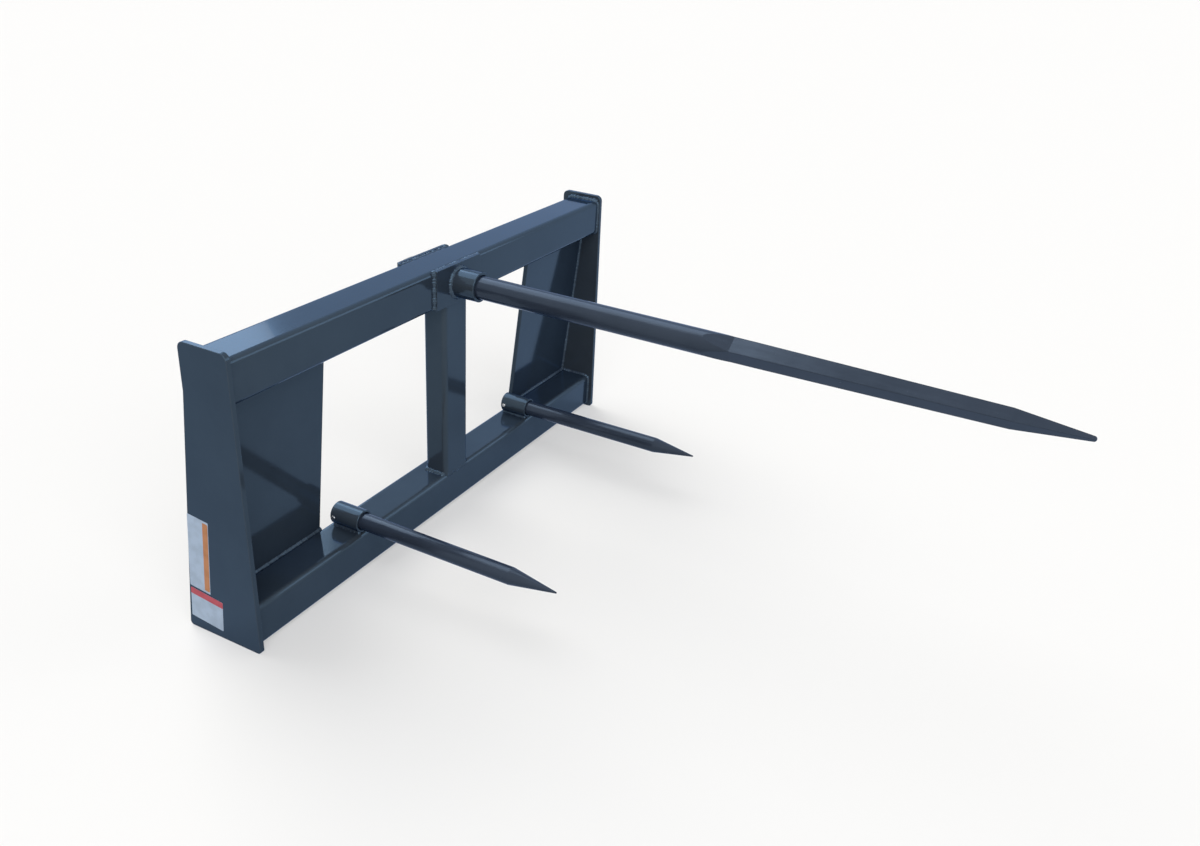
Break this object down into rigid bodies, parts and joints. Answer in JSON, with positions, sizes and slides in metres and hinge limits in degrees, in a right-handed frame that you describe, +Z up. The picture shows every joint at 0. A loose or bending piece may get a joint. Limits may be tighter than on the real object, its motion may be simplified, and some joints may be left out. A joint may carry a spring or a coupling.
{
  "type": "bale spear attachment",
  "caption": "Bale spear for a skid-steer quick coupler: welded square-tube frame with a long tapered spear and short stabilizer spears.",
  "frame": {"origin": "middle of the hook line: the top edge of the attach plates' rear faces, level with the top tube's underside, on the frame's centre plane", "axes": "+Z up with the attachment carried level, the spears point along -Y and the loader couples at +Y; left is -X and right is +X"},
  "size_m": [1.143, 1.2742, 0.5332],
  "materials": {
    "frame_paint": "gloss",
    "spear_paint": "satin",
    "zinc_plate": "satin"
  },
  "bodies": {
    "root": {"bottom_tube": "frame_paint", "centre_post": "frame_paint", "front_hub_plate": "frame_paint", "left_attach_plate": "frame_paint", "left_hook_lip": "frame_paint", "left_side_plate": "frame_paint", "left_stabilizer_pin": "zinc_plate", "left_stabilizer_sleeve": "frame_paint", "left_stabilizer_spear": "spear_paint", "main_hub": "frame_paint", "main_spear": "spear_paint", "rear_hub_plate": "frame_paint", "right_attach_plate": "frame_paint", "right_hook_lip": "frame_paint", "right_side_plate": "frame_paint", "right_stabilizer_pin": "zinc_plate", "right_stabilizer_sleeve": "frame_paint", "right_stabilizer_spear": "spear_paint", "spear_nut": "zinc_plate", "spear_washer": "zinc_plate", "top_tube": "frame_paint"}
  },
  "joints": []
}
